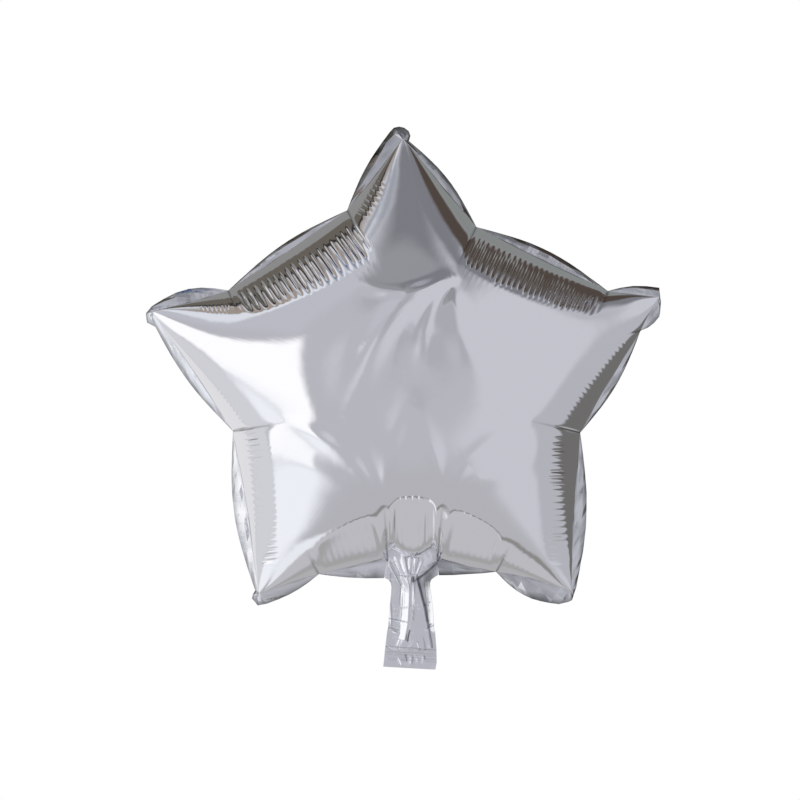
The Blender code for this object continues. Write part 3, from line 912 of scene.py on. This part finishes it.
# Each patch of the surroundings, as the film sees it. Tilt is the angle from straight out of
# the star's face, and turn goes anticlockwise from the right. Columns: name, colour, tilt from
# and to, turn from and to, softness of the inner edge, outer edge and sides, in degrees.
patches = (
    ("rightWall", "#c4c5cb", 15, 68, -58, 63, 7, 5, 9),
    ("rightWallFar", "#b2b3b8", 67, 98, -62, 40, 4, 3, 6),
    ("rightRoom", "#6d6c6a", 98, 200, -44, 26, 3, 6, 5),
    ("lowerWall", "#b2b2b6", 28, 70, 250, 300, 8, 4, 10),
    ("floor", "#bbbbbe", 72, 92, 236, 312, 2, 3, 10),
    ("floorFar", "#a3a2a1", 95, 105, 232, 314, 3, 3, 10),
    ("floorEdge", "#aeaeaf", 107, 200, 232, 314, 4, 6, 10),
    ("frontShade", "#abacb2", 3, 14, 12, 76, 4, 2, 8),
    ("frontShadeHigh", "#a9a9af", 9, 34, 74, 118, 5, 4, 8),
    ("frontGlow", "#c7c7cd", 7, 20, 132, 200, 4, 4, 10),
    ("ceiling", "#919196", 35, 70, 62, 110, 2.5, 3, 6),
    ("ceilingFar", "#7b7c81", 55, 76, 66, 102, 5, 6, 6),
    ("paleCorner", "#9b9ea6", 71, 86, 90, 162, 3, 2, 5),
    ("upperLeftWall", "#babbc2", 40, 70, 114, 150, 4, 3, 5),
    ("backdropUpperLeft", "#8a8a89", 92, 200, 88, 166, 3, 6, 5),
    ("oliveRoom", "#645f57", 97, 112, 84, 138, 1, 1.5, 4),
    ("paleGap", "#c3c6cb", 84, 93, 84, 126, 2, 1, 5),
    ("backdropUpperRight", "#838785", 112, 200, 14, 92, 4, 6, 6),
    ("duskWall", "#7a7a80", 70, 92, 50, 90, 5, 4, 6),
    ("darkRoom", "#4e453f", 89, 111, 20, 90, 3, 4, 4),
    ("softboxFoot", "#e8eaee", 66, 75, 234, 262, 2, 2, 3),
    ("softboxCorner", "#d9dce2", 70, 80, 118, 150, 2, 2, 5),
    ("darkStrip", "#8b8986", 67, 71, 268, 300, 1, 1, 4),
    ("leftWall", "#cfd0d3", 80, 106, 164, 236, 3, 4, 5),
    ("backdropLeft", "#dededf", 106, 200, 164, 226, 3, 6, 5),
    ("woodShelf", "#9c9188", 80, 93, 124, 158, 1, 1, 4),
    ("shelfEdge", "#33302f", 93.5, 97.5, 86, 160, 1, 1, 4),
    ("blueGlint", "#4a5f8c", 81, 84.5, 96, 112, 0.9, 0.9, 4),
)

# The softboxes to the left of the camera, straight-edged. Columns: name, colour, how far right
# from and to, how far up from and to, and the softness of the edges, all as tilts in degrees.
softboxes = (
    ("upper", "#ffffff", -76, -31, -20, 18, 2.5),
    ("lower", "#eef0f4", -76, -26, -60, -18, 9),
)

studio = {
    "front": "#b6b6bc", "backdrop": "#a9a9ab", "sky": "#ffffff",
    "backdropTilt": 95, "backdropSoft": 12,  # where the backdrop takes over from the front
    "strength": 1.12,  # of what the film mirrors
    "floor": "#d8d6d1", "floorRoughness": 0.9,
    "floorZ": -1.15, "floorSize": 6.0,  # metres, as the camera's distance is
    "cameraDistance": 1.8,
    "pixel": 0.867,  # millimetres at the seam
    "frameWidth": 800, "starPixel": (406.0, 389.0),  # where the star's centre stands in the frame
}


# Plain pale to the camera, and to the film the patches one over another.
def studioWorld():
    world = bpy.data.worlds.new("studio")
    bpy.context.scene.world = world
    world.use_nodes = True
    tree = world.node_tree
    tree.nodes.clear()
    place = addNode(tree, "TexCoord")
    parts = addNode(tree, "SeparateXYZ", {"Vector": place.outputs["Generated"]})
    out = addNode(tree, "Math", {0: parts.outputs["Y"], 1: -1.0}, operation="MULTIPLY")
    angle = addNode(tree, "Math", {0: out.outputs[0]}, operation="ARCCOSINE")
    tilt = addNode(tree, "Math", {0: angle.outputs[0]}, operation="DEGREES").outputs[0]
    angle = addNode(tree, "Math", {0: parts.outputs["Z"], 1: parts.outputs["X"]}, operation="ARCTAN2")
    turn = addNode(tree, "Math", {0: angle.outputs[0]}, operation="DEGREES").outputs[0]

    def ramp(value, at, soft, rising=True):
        return addNode(tree, "MapRange", {
            "Value": value, "From Min": at - soft, "From Max": at + soft,
            "To Min": 0.0 if rising else 1.0, "To Max": 1.0 if rising else 0.0},
            interpolation_type="SMOOTHSTEP").outputs["Result"]

    def paint(under, colour, covers):
        cover = covers[0]
        for other in covers[1:]:
            both = addNode(tree, "Math", {0: cover, 1: other}, operation="MULTIPLY")
            cover = both.outputs[0]
        return addNode(tree, "Mix", {"Factor": cover, 6: under, 7: linear(colour)},
                       data_type="RGBA").outputs[2]

    tilts = []  # how far right and how far up, as tilts
    for part in ("COSINE", "SINE"):
        share = addNode(tree, "Math", {0: angle.outputs[0]}, operation=part)
        tilted = addNode(tree, "Math", {0: share.outputs[0], 1: tilt}, operation="MULTIPLY")
        tilts.append(tilted.outputs[0])
    right, above = tilts
    backdrop = ramp(tilt, studio["backdropTilt"], studio["backdropSoft"])
    shade = paint(linear(studio["front"]), studio["backdrop"], [backdrop])
    for name, colour, rightLow, rightHigh, upLow, upHigh, soft in softboxes:
        shade = paint(shade, colour, [
            ramp(right, rightLow, soft), ramp(right, rightHigh, soft, False),
            ramp(above, upLow, soft), ramp(above, upHigh, soft, False)])
    for name, colour, tiltLow, tiltHigh, turnLow, turnHigh, softIn, softOut, softSide in patches:
        middle, half = (turnLow + turnHigh) / 2, (turnHigh - turnLow) / 2
        off = addNode(tree, "Math", {0: turn, 1: middle}, operation="SUBTRACT")
        off = addNode(tree, "Math", {0: off.outputs[0], 1: -180.0, 2: 180.0}, operation="WRAP")
        off = addNode(tree, "Math", {0: off.outputs[0]}, operation="ABSOLUTE")
        shade = paint(shade, colour, [
            ramp(tilt, tiltLow, softIn), ramp(tilt, tiltHigh, softOut, False),
            ramp(off.outputs[0], half, softSide, False)])
    mirrored = addNode(tree, "Background", {"Color": shade, "Strength": studio["strength"]})
    plain = addNode(tree, "Background", {"Color": linear(studio["sky"]), "Strength": 1.0})
    rays = addNode(tree, "LightPath")
    mixed = addNode(tree, "MixShader", {
        0: rays.outputs["Is Glossy Ray"], 1: plain.outputs[0], 2: mirrored.outputs[0]})
    addNode(tree, "OutputWorld", {"Surface": mixed.outputs[0]})


# A plain pale floor, matt paint that gives no reflection of the film back to it, far enough
# below for the balloon to float clear of it.
def studioFloor():
    size, z = studio["floorSize"] / 2 / millimetre, studio["floorZ"] / millimetre
    places = np.array([(-size, -size, z), (size, -size, z), (size, size, z), (-size, size, z)], float)
    material = bpy.data.materials.new("painted floor, matt")
    material.use_nodes = True
    shader = material.node_tree.nodes["Principled BSDF"]
    shader.inputs["Base Color"].default_value = linear(studio["floor"])
    shader.inputs["Roughness"].default_value = studio["floorRoughness"]
    floor = meshPiece("studioFloor", places, np.array([(0, 1, 2), (0, 2, 3)]), material, False)
    floor.visible_glossy = False


# Straight in front, as far off as gives the photograph's small perspective, and with the lens
# that makes one of its pixels that many millimetres at the seam.
def studioCamera():
    distance = studio["cameraDistance"]
    width = studio["pixel"] * studio["frameWidth"] * millimetre
    centre = studio["frameWidth"] / 2
    across = (centre - studio["starPixel"][0]) * studio["pixel"] * millimetre
    up = (studio["starPixel"][1] - centre) * studio["pixel"] * millimetre
    data = bpy.data.cameras.new("camera")
    data.sensor_width = 36.0
    data.lens = data.sensor_width * distance / width
    camera = bpy.data.objects.new("camera", data)
    camera.location = (across, -distance, up)
    camera.rotation_euler = (math.pi / 2, 0.0, 0.0)
    bpy.context.scene.collection.objects.link(camera)
    bpy.context.scene.camera = camera


bpy.context.scene.view_settings.view_transform = "Standard"
studioWorld()
studioFloor()
studioCamera()
print("studio made")
